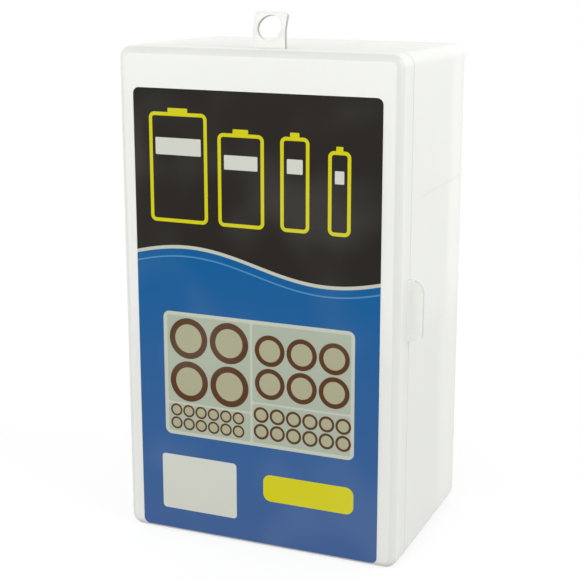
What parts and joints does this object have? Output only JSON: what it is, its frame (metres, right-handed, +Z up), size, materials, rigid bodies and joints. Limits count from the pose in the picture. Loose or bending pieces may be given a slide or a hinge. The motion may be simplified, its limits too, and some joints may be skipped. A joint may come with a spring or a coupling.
{
  "type": "hinged battery storage case",
  "caption": "Translucent hinged-lid storage case with wells for four sizes of round battery, a hang tab with a peg hole, a thumb tab and a printed front label.",
  "frame": {"origin": "centre of the footprint, on the surface that the case stands on", "axes": "+Z up the case's long side, the lid and its label face -Y, the hinge is at -X and the thumb tab at +X, the hang tab stands up at +Z"},
  "size_m": [0.1006, 0.0642, 0.1708],
  "materials": {
    "clear_plastic": "natural translucent polypropylene, satin moulded surface",
    "label": "printed and varnished adhesive label"
  },
  "bodies": {
    "base": {"base_shell": "clear_plastic", "cross_divider": "clear_plastic", "d_spine": "clear_plastic", "c_spine": "clear_plastic", "aa_divider": "clear_plastic", "aaa_divider": "clear_plastic", "d_well_floor": "clear_plastic", "c_well_floor": "clear_plastic", "aa_well_floor": "clear_plastic", "aaa_well_floor": "clear_plastic", "hinge_film_base": "clear_plastic"},
    "lid": {"lid_shell": "clear_plastic", "hinge_film_lid": "clear_plastic", "thumb_tab": "clear_plastic", "hang_tab": "clear_plastic", "front_label": "label"}
  },
  "joints": [
    {"name": "lid_hinge", "type": "hinge", "parent": "base", "child": "lid", "pos_m": [-0.04983, -0.02278, 0.08], "axis": [0, 0, -1], "range_deg": [0, 180]}
  ]
}
